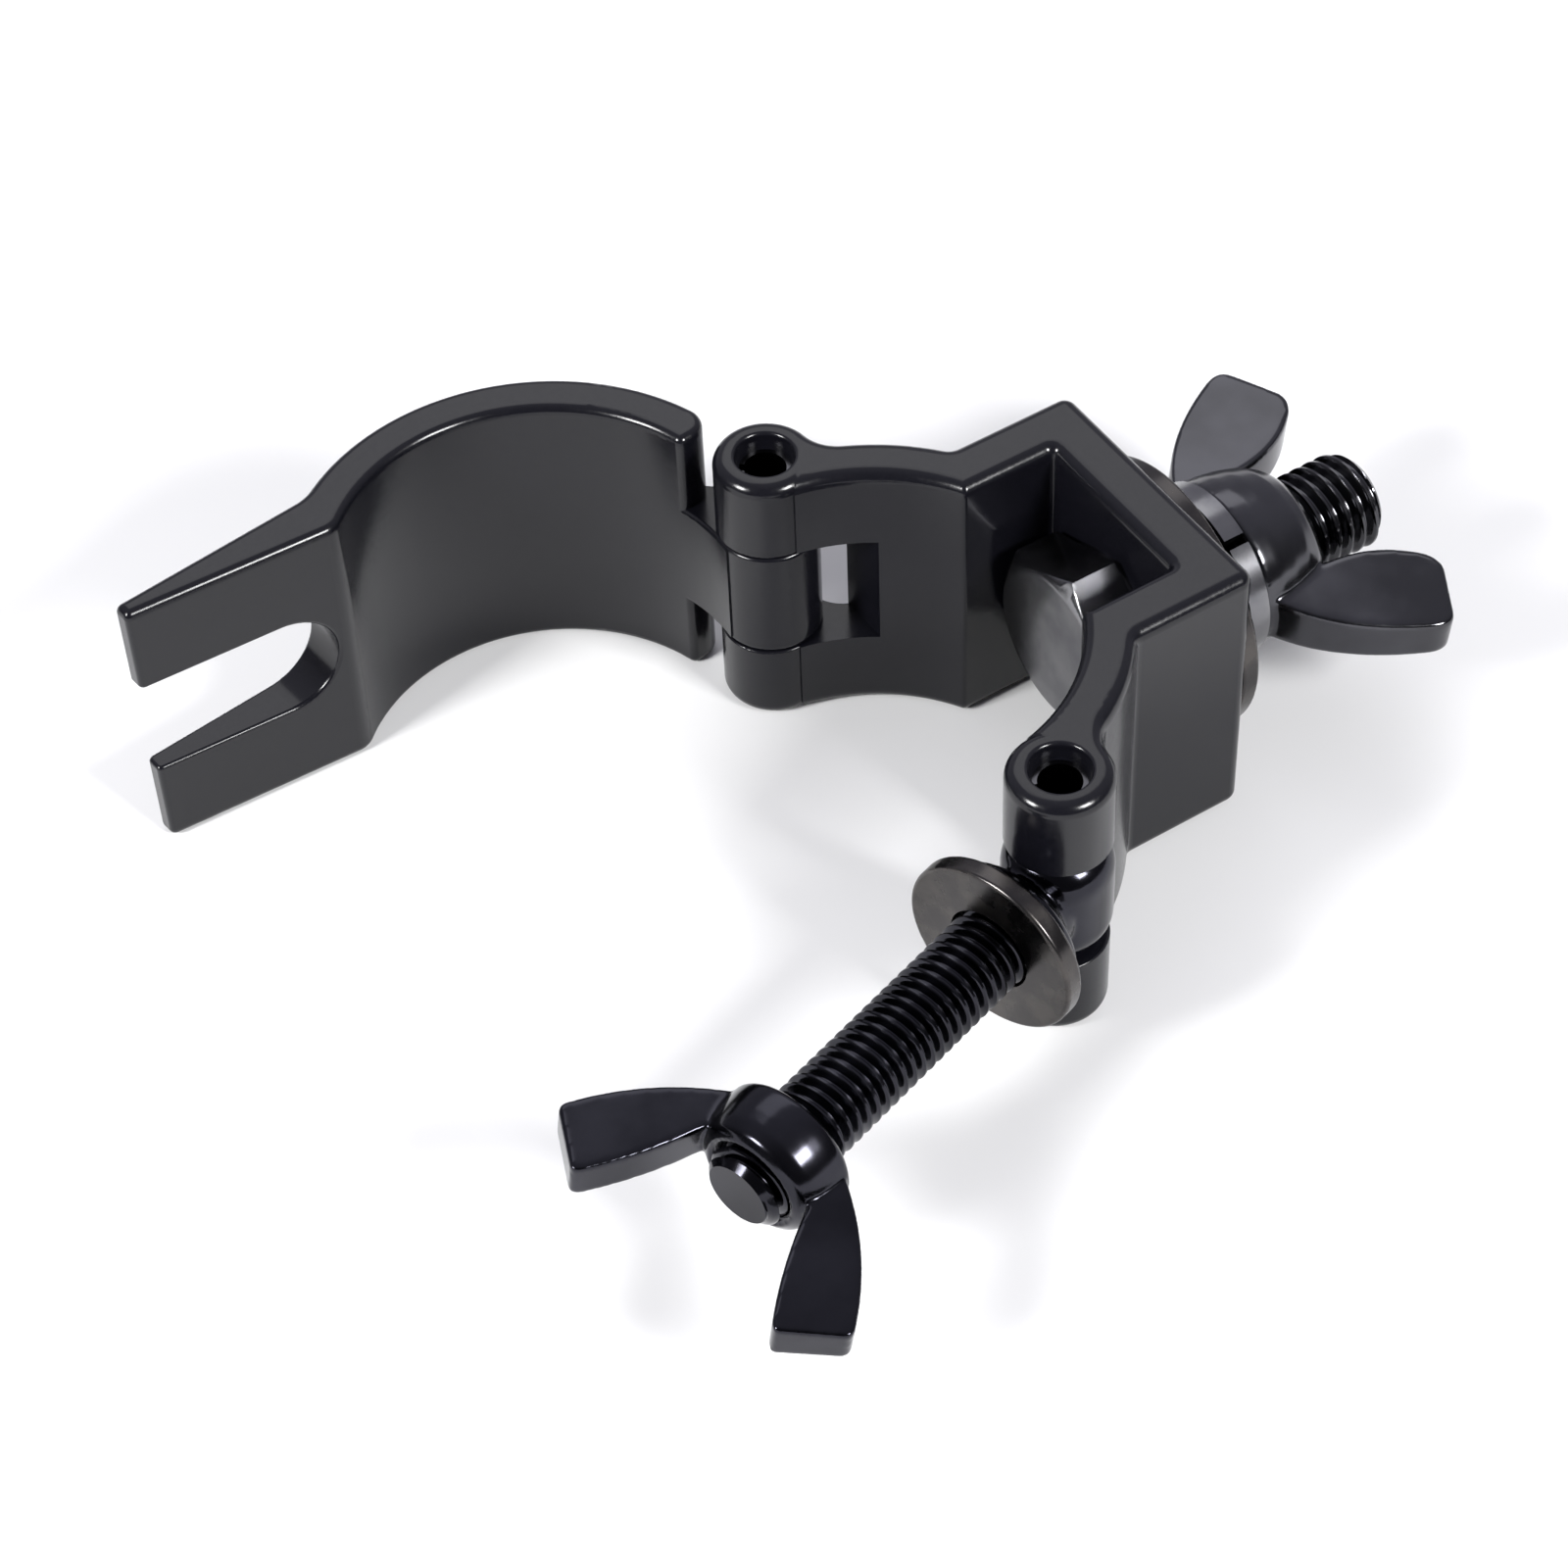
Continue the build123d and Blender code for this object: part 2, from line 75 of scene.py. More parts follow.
# %% Read the bolts' axes from the joints
joints = {joint["name"]: joint for joint in frame["joints"]}


def bolt_frame(start, axis, turn=0.0):
    """The matrix of a bolt's frame, turned round the bolt by some degrees."""
    along = Vector(axis).normalized()
    across = Vector((-along.y, along.x, 0)).normalized()
    basis = Matrix((across, along.cross(across), along)).transposed().to_4x4()
    return Matrix.Translation(start) @ basis @ Matrix.Rotation(radians(turn), 4, "Z")


swing_start = Vector(joints["swing_bolt_hinge"]["pos_m"])
swing_axis = Vector(joints["swing_nut_travel"]["axis"])
main_start = Vector((0, 0, swing_start.z))
main_axis = Vector(joints["main_nut_travel"]["axis"])
print("swing bolt starts at", [round(v / MM, 2) for v in swing_start], "mm")


def reach(node, start, axis):
    """How near and how far a node lies along a bolt, in metres."""
    depths = [(v.co - start).dot(axis) for v in frame["nodes"][node].data.vertices]
    return min(depths), max(depths)


def girth(node, start, axis):
    """The largest distance of a node from a bolt's axis, in metres."""
    offsets = [v.co - start for v in frame["nodes"][node].data.vertices]
    return max((offset - axis * offset.dot(axis)).length for offset in offsets)


# %% [markdown]
# ## One way to make node trees
#
# A small function adds a node, gives it its settings and links its inputs. Colours are
# written as sRGB hex, as on a paint chart, and one function turns them to linear light.

# %% The node helper and the colour helper
def add(tree, kind, settings=None, inputs=None):
    node = tree.nodes.new(kind)
    for name, value in (settings or {}).items():
        setattr(node, name, value)
    for key, value in (inputs or {}).items():
        if isinstance(value, bpy.types.NodeSocket):
            tree.links.new(value, node.inputs[key])
        else:
            node.inputs[key].default_value = value
    return node


def linear(hex_colour):
    channels = [int(hex_colour[i:i + 2], 16) / 255 for i in (1, 3, 5)]
    return [c / 12.92 if c <= 0.04045 else ((c + 0.055) / 1.055) ** 2.4 for c in channels] + [1]


# %% [markdown]
# ## The powder coat
#
# Powder coat is baked polyester. It levels out to a satin skin with a faint orange peel, a
# few millimetres from crest to crest, and small nibs where dust was baked in. The base
# colour is nearly black, so what the eye reads is the soft reflection on top of it.

# %% Make the powder coat on cast aluminium
def material(name):
    made = bpy.data.materials.new(name)
    made.use_nodes = True
    made.node_tree.nodes.clear()
    return made


def finish_with(made, shader):
    out = made.node_tree.nodes.new("ShaderNodeOutputMaterial")
    made.node_tree.links.new(shader.outputs[0], out.inputs["Surface"])


PEEL_SPACING = 2.2 * MM
PEEL_HEIGHT = 0.10 * MM
GRAIN_SPACING = 0.35 * MM
GRAIN_HEIGHT = 0.015 * MM
NIB_SPACING = 5.0 * MM
NIB_HEIGHT = 0.05 * MM
powder_coat = material("satin_black_powder_coat")
tree = powder_coat.node_tree
place = add(tree, "ShaderNodeTexCoord").outputs["Object"]
peel = add(tree, "ShaderNodeTexNoise", None, {"Vector": place, "Scale": 1 / PEEL_SPACING, "Detail": 2.0})
grain = add(tree, "ShaderNodeTexNoise", None, {"Vector": place, "Scale": 1 / GRAIN_SPACING, "Detail": 3.0})
nibs = add(tree, "ShaderNodeTexVoronoi", None, {"Vector": place, "Scale": 1 / NIB_SPACING})
nib_height = add(
    tree,
    "ShaderNodeMapRange",
    None,
    {"Value": nibs.outputs["Distance"], "From Min": 0.0, "From Max": 0.035, "To Min": 1.0, "To Max": 0.0},
)
peel_bump = add(
    tree,
    "ShaderNodeBump",
    None,
    {"Height": peel.outputs[0], "Strength": 0.08, "Distance": PEEL_HEIGHT},
)
grain_bump = add(
    tree,
    "ShaderNodeBump",
    None,
    {"Height": grain.outputs[0], "Strength": 0.03, "Distance": GRAIN_HEIGHT, "Normal": peel_bump.outputs[0]},
)
nib_bump = add(
    tree,
    "ShaderNodeBump",
    None,
    {
        "Height": nib_height.outputs[0],
        "Strength": 0.25,
        "Distance": NIB_HEIGHT,
        "Normal": grain_bump.outputs[0],
    },
)
satin = add(
    tree,
    "ShaderNodeMapRange",
    None,
    {"Value": grain.outputs[0], "From Min": 0.3, "From Max": 0.7, "To Min": 0.16, "To Max": 0.23},
)
shader = add(
    tree,
    "ShaderNodeBsdfPrincipled",
    None,
    {
        "Base Color": linear("#0d0d12"),
        "Roughness": satin.outputs[0],
        "Specular IOR Level": 0.36,
        "Normal": nib_bump.outputs[0],
    },
)
finish_with(powder_coat, shader)

# %% [markdown]
# ## The black zinc plate
#
# The bolts and nuts are zinc plated and then passivated black. The plate is thin and glossy,
# so it shows sharp reflections, slightly uneven where the steel under it was forged. On the
# main bolt, its nut and the pins the black has worn to grey, and on the spring washer it has
# rubbed off to bright zinc. The bolt's head gets the same bright colour as painted reflection,
# lightened to make up for the light its shaded channel keeps off it. The flat washers have a
# dull black oxide.

# %% Make the black plates
def plated(name, colour, rough_low, rough_high, wave, wave_height, tint=None):
    made = material(name)
    tree = made.node_tree
    place = add(tree, "ShaderNodeTexCoord").outputs["Object"]
    waves = add(tree, "ShaderNodeTexNoise", None, {"Vector": place, "Scale": 1 / wave, "Detail": 2.0})
    cloud = add(tree, "ShaderNodeTexNoise", None, {"Vector": place, "Scale": 1 / (4 * wave), "Detail": 4.0})
    sheen = add(
        tree,
        "ShaderNodeMapRange",
        None,
        {
            "Value": cloud.outputs[0],
            "From Min": 0.35,
            "From Max": 0.65,
            "To Min": rough_low,
            "To Max": rough_high,
        },
    )
    bump = add(
        tree,
        "ShaderNodeBump",
        None,
        {"Height": waves.outputs[0], "Strength": 0.2, "Distance": wave_height},
    )
    shades = add(tree, "ShaderNodeValToRGB", None, {"Fac": cloud.outputs[0]})
    shades.color_ramp.elements[0].position = 0.40
    shades.color_ramp.elements[0].color = linear(colour)
    shades.color_ramp.elements[1].position = 0.62
    shades.color_ramp.elements[1].color = linear(tint or colour)
    shader = add(
        tree,
        "ShaderNodeBsdfPrincipled",
        None,
        {
            "Base Color": shades.outputs[0],
            "Metallic": 1.0,
            "Roughness": sheen.outputs[0],
            "Normal": bump.outputs[0],
        },
    )
    finish_with(made, shader)
    return made


black_zinc = plated("glossy_black_zinc", "#2c2c31", 0.11, 0.20, 2.5 * MM, 0.03 * MM, "#35353b")
worn_zinc = plated("worn_black_zinc", "#47474a", 0.12, 0.22, 2.5 * MM, 0.03 * MM, "#515155")
# Bright zinc on the spring washer. On the bolt's head this light colour is painted reflection, making up for
# the light its shaded channel keeps off it.
bright_zinc_and_painted_light = plated("bright_zinc_and_painted_reflection", "#7c7c7e", 0.16, 0.26, 1.2 * MM, 0.02 * MM, "#6a6a6e")
black_oxide = plated("dull_black_oxide", "#454343", 0.22, 0.32, 0.8 * MM, 0.02 * MM, "#524f4d")
for node, finish in {
    "base_casting": powder_coat,
    "jaw": powder_coat,
    "jaw_hinge_pin": worn_zinc,
    "swing_hinge_pin": worn_zinc,
    "swing_washer": black_oxide,
    "main_flat_washer": black_oxide,
    "main_spring_washer": bright_zinc_and_painted_light,
}.items():
    frame["nodes"][node].data.materials.clear()
    frame["nodes"][node].data.materials.append(finish)

# %% [markdown]
# ## Threads
#
# A thread is one groove that follows a rule: it climbs one pitch for each turn. Geometry
# Nodes bend a flat grid round the bolt and lift each column by its share of the pitch, so
# the rows of the grid run exactly along the crests. Each row's radius comes from where it
# stands within the pitch, and a cone at each end cuts the chamfer.

# %% Build the thread's node tree
THREAD_DEPTH_PER_PITCH = 0.6134
ROWS_PER_PITCH = 12
COLUMNS = 72
THREAD_OVERLAP = 0.5 * MM


def thread_tree():
    tree = bpy.data.node_groups.new("screw_thread", "GeometryNodeTree")
    sizes = {
        "Pitch": 1.25 * MM,
        "Radius": 4 * MM,
        "Length": 36 * MM,
        "End Radius": 3 * MM,
        "Depth": 0.77 * MM,
    }
    for name, value in sizes.items():
        tree.interface.new_socket(name, in_out="INPUT", socket_type="NodeSocketFloat").default_value = value
    tree.interface.new_socket("Finish", in_out="INPUT", socket_type="NodeSocketMaterial")
    tree.interface.new_socket("Geometry", in_out="OUTPUT", socket_type="NodeSocketGeometry")
    given = add(tree, "NodeGroupInput").outputs
    step = add(tree, "ShaderNodeMath", {"operation": "DIVIDE"}, {0: given["Pitch"], 1: ROWS_PER_PITCH})
    run = add(tree, "ShaderNodeMath", {"operation": "ADD"}, {0: given["Length"], 1: given["Pitch"]})
    share = add(tree, "ShaderNodeMath", {"operation": "DIVIDE"}, {0: run.outputs[0], 1: step.outputs[0]})
    rows = add(tree, "ShaderNodeMath", {"operation": "CEIL"}, {0: share.outputs[0]})
    height = add(tree, "ShaderNodeMath", {"operation": "MULTIPLY"}, {0: rows.outputs[0], 1: step.outputs[0]})
    row_count = add(tree, "ShaderNodeMath", {"operation": "ADD"}, {0: rows.outputs[0], 1: 1.0})
    grid = add(
        tree,
        "GeometryNodeMeshGrid",
        None,
        {
            "Size X": 1.0,
            "Size Y": height.outputs[0],
            "Vertices X": COLUMNS + 1,
            "Vertices Y": row_count.outputs[0],
        },
    )
    here = add(tree, "ShaderNodeSeparateXYZ", None, {0: add(tree, "GeometryNodeInputPosition").outputs[0]})
    turn = add(tree, "ShaderNodeMath", {"operation": "ADD"}, {0: here.outputs["X"], 1: 0.5})
    half = add(tree, "ShaderNodeMath", {"operation": "MULTIPLY"}, {0: height.outputs[0], 1: 0.5})
    level = add(tree, "ShaderNodeMath", {"operation": "ADD"}, {0: here.outputs["Y"], 1: half.outputs[0]})
    phase = add(tree, "ShaderNodeMath", {"operation": "DIVIDE"}, {0: level.outputs[0], 1: given["Pitch"]})
    nudged = add(tree, "ShaderNodeMath", {"operation": "ADD"}, {0: phase.outputs[0], 1: 0.001})
    within = add(tree, "ShaderNodeMath", {"operation": "FRACT"}, {0: nudged.outputs[0]})
    centred = add(
        tree,
        "ShaderNodeMath",
        {"operation": "MULTIPLY_ADD"},
        {0: within.outputs[0], 1: 2.0, 2: -1.0},
    )
    ridge = add(tree, "ShaderNodeMath", {"operation": "ABSOLUTE"}, {0: centred.outputs[0]})
    crest = add(
        tree,
        "ShaderNodeMapRange",
        {"interpolation_type": "SMOOTHSTEP"},
        {"Value": ridge.outputs[0], "From Min": 0.10, "From Max": 0.86},
    )
    root = add(tree, "ShaderNodeMath", {"operation": "SUBTRACT"}, {0: given["Radius"], 1: given["Depth"]})
    lift = add(
        tree,
        "ShaderNodeMath",
        {"operation": "MULTIPLY_ADD"},
        {0: crest.outputs[0], 1: given["Depth"], 2: root.outputs[0]},
    )
    climb = add(tree, "ShaderNodeMath", {"operation": "SUBTRACT"}, {0: turn.outputs[0], 1: 1.0})
    raised = add(
        tree,
        "ShaderNodeMath",
        {"operation": "MULTIPLY_ADD"},
        {0: climb.outputs[0], 1: given["Pitch"], 2: level.outputs[0]},
    )
    depth = add(
        tree,
        "ShaderNodeClamp",
        None,
        {"Value": raised.outputs[0], "Min": 0.0, "Max": given["Length"]},
    )
    left = add(tree, "ShaderNodeMath", {"operation": "SUBTRACT"}, {0: given["Length"], 1: depth.outputs[0]})
    nearest = add(tree, "ShaderNodeMath", {"operation": "MINIMUM"}, {0: depth.outputs[0], 1: left.outputs[0]})
    cone = add(tree, "ShaderNodeMath", {"operation": "ADD"}, {0: nearest.outputs[0], 1: given["End Radius"]})
    radius = add(tree, "ShaderNodeMath", {"operation": "MINIMUM"}, {0: lift.outputs[0], 1: cone.outputs[0]})
    angle = add(tree, "ShaderNodeMath", {"operation": "MULTIPLY"}, {0: turn.outputs[0], 1: 2 * pi})
    cosine = add(tree, "ShaderNodeMath", {"operation": "COSINE"}, {0: angle.outputs[0]})
    sine = add(tree, "ShaderNodeMath", {"operation": "SINE"}, {0: angle.outputs[0]})
    x = add(tree, "ShaderNodeMath", {"operation": "MULTIPLY"}, {0: cosine.outputs[0], 1: radius.outputs[0]})
    y = add(tree, "ShaderNodeMath", {"operation": "MULTIPLY"}, {0: sine.outputs[0], 1: radius.outputs[0]})
    wound = add(tree, "ShaderNodeCombineXYZ", None, {0: x.outputs[0], 1: y.outputs[0], 2: depth.outputs[0]})
    wrap = add(
        tree,
        "GeometryNodeSetPosition",
        None,
        {"Geometry": grid.outputs["Mesh"], "Position": wound.outputs[0]},
    )
    disc = add(
        tree,
        "GeometryNodeMeshCircle",
        {"fill_type": "TRIANGLE_FAN"},
        {"Vertices": COLUMNS, "Radius": given["End Radius"]},
    )
    far = add(tree, "ShaderNodeCombineXYZ", None, {2: given["Length"]})
    far_disc = add(
        tree,
        "GeometryNodeTransform",
        None,
        {"Geometry": disc.outputs["Mesh"], "Translation": far.outputs[0]},
    )
    near_disc = add(tree, "GeometryNodeFlipFaces", None, {"Mesh": disc.outputs["Mesh"]})
    whole = add(tree, "GeometryNodeJoinGeometry")
    for part in (wrap, far_disc, near_disc):
        tree.links.new(part.outputs[0], whole.inputs[0])
    welded = add(
        tree,
        "GeometryNodeMergeByDistance",
        None,
        {"Geometry": whole.outputs[0], "Distance": 0.002 * MM},
    )
    real = add(tree, "GeometryNodeRealizeInstances", None, {"Geometry": welded.outputs[0]})
    coated = add(
        tree,
        "GeometryNodeSetMaterial",
        None,
        {"Geometry": real.outputs[0], "Material": given["Finish"]},
    )
    add(tree, "NodeGroupOutput", None, {0: coated.outputs[0]})
    return tree


screw_thread = thread_tree()
print("thread tree has", len(screw_thread.nodes), "nodes")


# %% Turn a tree into a plain mesh
def smooth_by_angle(mesh, degrees):
    mesh.shade_smooth()
    mesh.set_sharp_from_angle(angle=radians(degrees))


def baked(name, tree, inputs, place, sharp_angle=40):
    """Runs a tree with these inputs and returns its result as a plain mesh object."""
    holder = bpy.data.objects.new(name + "_tree", bpy.data.meshes.new(name + "_tree"))
    bpy.context.scene.collection.objects.link(holder)
    modifier = holder.modifiers.new("tree", "NODES")
    modifier.node_group = tree
    for socket in tree.interface.items_tree:
        if socket.in_out == "INPUT" and socket.name in inputs:
            modifier[socket.identifier] = inputs[socket.name]
    graph = bpy.context.evaluated_depsgraph_get()
    mesh = bpy.data.meshes.new_from_object(holder.evaluated_get(graph))
    bpy.data.objects.remove(holder)
    mesh.transform(place)
    smooth_by_angle(mesh, sharp_angle)
    piece = bpy.data.objects.new(name, mesh)
    bpy.context.scene.collection.objects.link(piece)
    print(name, "has", len(mesh.polygons), "faces")
    return piece


def thread(name, radius, pitch, start, end, frame_matrix, finish):
    """A threaded rod between two places along a bolt."""
    depth = THREAD_DEPTH_PER_PITCH * pitch
    sizes = {
        "Pitch": pitch,
        "Radius": radius,
        "Depth": depth,
        "Length": end - start,
        "End Radius": radius - depth - 0.1 * MM,
        "Finish": finish,
    }
    return baked(name, screw_thread, sizes, frame_matrix @ Matrix.Translation((0, 0, start)))


# %% [markdown]
# ## Forged shapes
#
# The eye bolt and the wing nuts are forged hot in a die, so their parts run into each other
# with soft hollows. Round parts are turned profiles and flat wings are thick outlines. A
# voxel remesh fuses them into one skin and a smoothing pass rounds the joints, as the die does.

# %% Helpers for turned and flat stock
ROUND_STEPS = 96


def turned(profile, place):
    """A closed ring of (radius, height) points spun round Z, as a mesh with outward faces."""
    shape = bmesh.new()
    points = [shape.verts.new((r, 0, z)) for r, z in profile]
    edges = [shape.edges.new((points[i - 1], points[i])) for i in range(len(points))]
    bmesh.ops.spin(
        shape,
        geom=points + edges,
        axis=(0, 0, 1),
        cent=(0, 0, 0),
        angle=2 * pi,
        steps=ROUND_STEPS,
        use_merge=True,
    )
    bmesh.ops.remove_doubles(shape, verts=shape.verts, dist=0.001 * MM)
    bmesh.ops.recalc_face_normals(shape, faces=shape.faces)
    shape.transform(place)
    return shape


def plate(outline, root, tip, edge, place):
    """A plate with this (across, along) outline, in the bolt's X and Z, centred on Y.

    Its thickness goes from root, at the bolt's axis, to tip, and its edges are rounded.
    """
    shape = bmesh.new()
    face = shape.faces.new([shape.verts.new((x, -0.5, z)) for x, z in outline])
    grown = bmesh.ops.extrude_face_region(shape, geom=[face])
    moved = [item for item in grown["geom"] if isinstance(item, bmesh.types.BMVert)]
    bmesh.ops.translate(shape, vec=(0, 1, 0), verts=moved)
    span = max(abs(x) for x, z in outline)
    for vertex in shape.verts:
        vertex.co.y *= root + (tip - root) * abs(vertex.co.x) / span
    bmesh.ops.recalc_face_normals(shape, faces=shape.faces)
    rims = [rim for rim in shape.edges if rim.calc_face_angle() > radians(50)]
    bmesh.ops.bevel(
        shape, geom=rims, offset=edge, segments=4, profile=0.5, affect="EDGES", clamp_overlap=True
    )
    bmesh.ops.recalc_face_normals(shape, faces=shape.faces)
    shape.transform(place)
    return shape


def forged(name, stock, voxel, rounds, finish):
    """Fuses the stock into one smooth skin."""
    mesh = bpy.data.meshes.new(name + "_stock")
    joined = bmesh.new()
    for shape in stock:
        shape.to_mesh(mesh)
        joined.from_mesh(mesh)
        shape.free()
    joined.to_mesh(mesh)
    joined.free()
    blank = bpy.data.objects.new(name + "_stock", mesh)
    bpy.context.scene.collection.objects.link(blank)
    remesh = blank.modifiers.new("fuse", "REMESH")
    remesh.mode = "VOXEL"
    remesh.voxel_size = voxel
    soften = blank.modifiers.new("soften", "SMOOTH")
    soften.factor = 0.5
    soften.iterations = rounds
    graph = bpy.context.evaluated_depsgraph_get()
    skin = bpy.data.meshes.new_from_object(blank.evaluated_get(graph))
    bpy.data.objects.remove(blank)
    skin.materials.clear()
    skin.materials.append(finish)
    smooth_by_angle(skin, 60)
    piece = bpy.data.objects.new(name, skin)
    bpy.context.scene.collection.objects.link(piece)
    print(name, "has", len(skin.polygons), "faces")
    return piece


def arc(start, middle, end, steps=20):
    """Points on the curve through three (x, y) points, as a parabola."""
    points = []
    for i in range(steps + 1):
        t = i / steps
        ease = [(1 - t) * (1 - 2 * t), 4 * t * (1 - t), t * (2 * t - 1)]
        points.append(tuple(sum(e * p[k] for e, p in zip(ease, (start, middle, end))) for k in (0, 1)))
    return points


# %% [markdown]
# ## The swing bolt
#
# The eye turns on its pin between the ears. Behind the washer it swells into a collar that
# the washer rests on, and the M8 thread starts there.

# %% Make the swing bolt
M8_RADIUS = 4.0 * MM
M8_PITCH = 1.25 * MM
EYE_RADIUS = 5.2 * MM
EYE_HALF_HEIGHT = 6.25 * MM
EYE_BORE = 2.55 * MM
NECK_RADIUS = 4.4 * MM
COLLAR_RADIUS = girth("swing_bolt", swing_start, swing_axis)
collar_face = reach("swing_washer", swing_start, swing_axis)[0]
swing_end = reach("swing_bolt", swing_start, swing_axis)[1]
swing_frame = bolt_frame(swing_start, swing_axis)


def eye_profile():
    """Half the rounded outline of the eye, from the bore's foot up and back."""
    corner = 3.2 * MM
    outline = [(EYE_BORE, -EYE_HALF_HEIGHT)]
    for sign in (-1, 1):
        for i in range(9):
            swing = radians(90 * i / 8) if sign < 0 else radians(90 - 90 * i / 8)
            outline.append(
                (
                    EYE_RADIUS - corner + corner * sin(swing),
                    sign * (EYE_HALF_HEIGHT - corner + corner * cos(swing)),
                )
            )
    return outline + [(EYE_BORE, EYE_HALF_HEIGHT)]


collar_profile = [
    (0, 3.2 * MM),
    (NECK_RADIUS, 3.2 * MM),
    (NECK_RADIUS + 0.2 * MM, 4.6 * MM),
    (NECK_RADIUS + 1.2 * MM, 5.6 * MM),
    (COLLAR_RADIUS - 0.5 * MM, 6.3 * MM),
    (COLLAR_RADIUS, 6.9 * MM),
    (COLLAR_RADIUS, collar_face),
    (0, collar_face),
]
eye = forged(
    "swing_bolt_eye",
    [turned(eye_profile(), Matrix.Translation(swing_start)), turned(collar_profile, swing_frame)],
    0.22 * MM,
    6,
    black_zinc,
)
swing_thread_start = collar_face - THREAD_OVERLAP
swing_shank = thread(
    "swing_bolt_thread", M8_RADIUS, M8_PITCH, swing_thread_start, swing_end, swing_frame, black_zinc
)
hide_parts("swing_bolt")
for piece in (eye, swing_shank):
    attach(piece, "swing_bolt")

# %% [markdown]
# ## The main bolt
#
# An M10 hex bolt. The head's corners are cut back by a cone on the front face, which gives
# each flat its curved top edge.

# %% Make the main bolt
M10_RADIUS = 5.0 * MM
M10_PITCH = 1.5 * MM
HEX_FLAT = 8.5 * MM
HEX_TURN = 10
HEX_STEPS = 120
HEAD_HEIGHT = 6.4 * MM
CHAMFER_SLOPE = tan(radians(28))
WASHER_FACE = 0.6 * MM
head_front, main_end = reach("main_bolt", main_start, main_axis)
channel_floor = head_front + HEAD_HEIGHT
main_frame = bolt_frame(main_start, main_axis)


def hex_head(name, place):
    shape = bmesh.new()
    rings = []
    face_radius = HEX_FLAT - 0.3 * MM
    for i in range(HEX_STEPS):
        angle = 2 * pi * i / HEX_STEPS
        rim = HEX_FLAT / cos((angle + pi / 6) % (pi / 3) - pi / 6)
        drop = (rim - face_radius) * CHAMFER_SLOPE
        section = [
            (face_radius - 0.4 * MM, head_front),
            (face_radius, head_front + 0.05 * MM),
            (rim - 0.12 * MM, head_front + drop),
            (rim, head_front + drop + 0.15 * MM),
            (rim, channel_floor - WASHER_FACE - 0.15 * MM),
            (rim - 0.15 * MM, channel_floor - WASHER_FACE),
            (face_radius, channel_floor - WASHER_FACE),
            (face_radius, channel_floor),
            (M10_RADIUS * 0.8, channel_floor),
        ]
        rings.append([shape.verts.new((r * cos(angle), r * sin(angle), z)) for r, z in section])
    for i, ring in enumerate(rings):
        last = rings[i - 1]
        for k in range(len(ring) - 1):
            shape.faces.new((last[k], ring[k], ring[k + 1], last[k + 1]))
    shape.faces.new([ring[0] for ring in rings])
    shape.faces.new([ring[-1] for ring in reversed(rings)])
    bmesh.ops.recalc_face_normals(shape, faces=shape.faces)
    mesh = bpy.data.meshes.new(name)
    shape.to_mesh(mesh)
    shape.free()
    mesh.transform(place)
    # The head's light zinc colour is painted reflection: it stands in for the light that the shaded channel
    # keeps off the head.
    mesh.materials.append(bright_zinc_and_painted_light)
    smooth_by_angle(mesh, 25)
    piece = bpy.data.objects.new(name, mesh)
    bpy.context.scene.collection.objects.link(piece)
    print(name, "has", len(mesh.polygons), "faces")
    return piece


head = hex_head("main_bolt_head", bolt_frame(main_start, main_axis, HEX_TURN))
main_thread_start = channel_floor - THREAD_OVERLAP
main_shank = thread(
    "main_bolt_thread", M10_RADIUS, M10_PITCH, main_thread_start, main_end, main_frame, worn_zinc
)
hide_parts("main_bolt")
for piece in (head, main_shank):
    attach(piece, "base")

# %% [markdown]
# ## The wing nuts
#
# A wing nut has a low round hub with a rounded crown. Its two wings are thick blades that
# sweep out and forward, broad enough for a thumb, and they thin out towards rounded tips.
# Each wing's outline is a back edge and a front edge, both given as three points: how far
# outside the thread, and how far above the nut's seat.

# %% Make a wing nut
WING_EDGE = 1.0 * MM


def rounded_outline(back, front, rounding):
    """The wing's outline, its two tip corners rounded."""
    sides = []
    for curve, corner in ((back, back[-1]), (front, front[0])):
        sides.append([p for p in curve if (Vector(p) - Vector(corner)).length > rounding])
    tip = (Vector(front[0]) - Vector(back[-1])).normalized() * rounding
    across_back = tuple(Vector(back[-1]) + tip)
    across_front = tuple(Vector(front[0]) - tip)
    back_turn = bend(sides[0][-1], back[-1], across_back)
    front_turn = bend(across_front, front[0], sides[1][0])
    return sides[0] + back_turn + front_turn + sides[1]


def bend(start, corner, end, steps=6):
    """Points that turn a corner as a die rounds it, from the one after the start."""
    a, b, c = Vector(start), Vector(corner), Vector(end)
    shares = [i / steps for i in range(1, steps + 1)]
    return [tuple(a * (1 - t) ** 2 + b * 2 * t * (1 - t) + c * t * t) for t in shares]


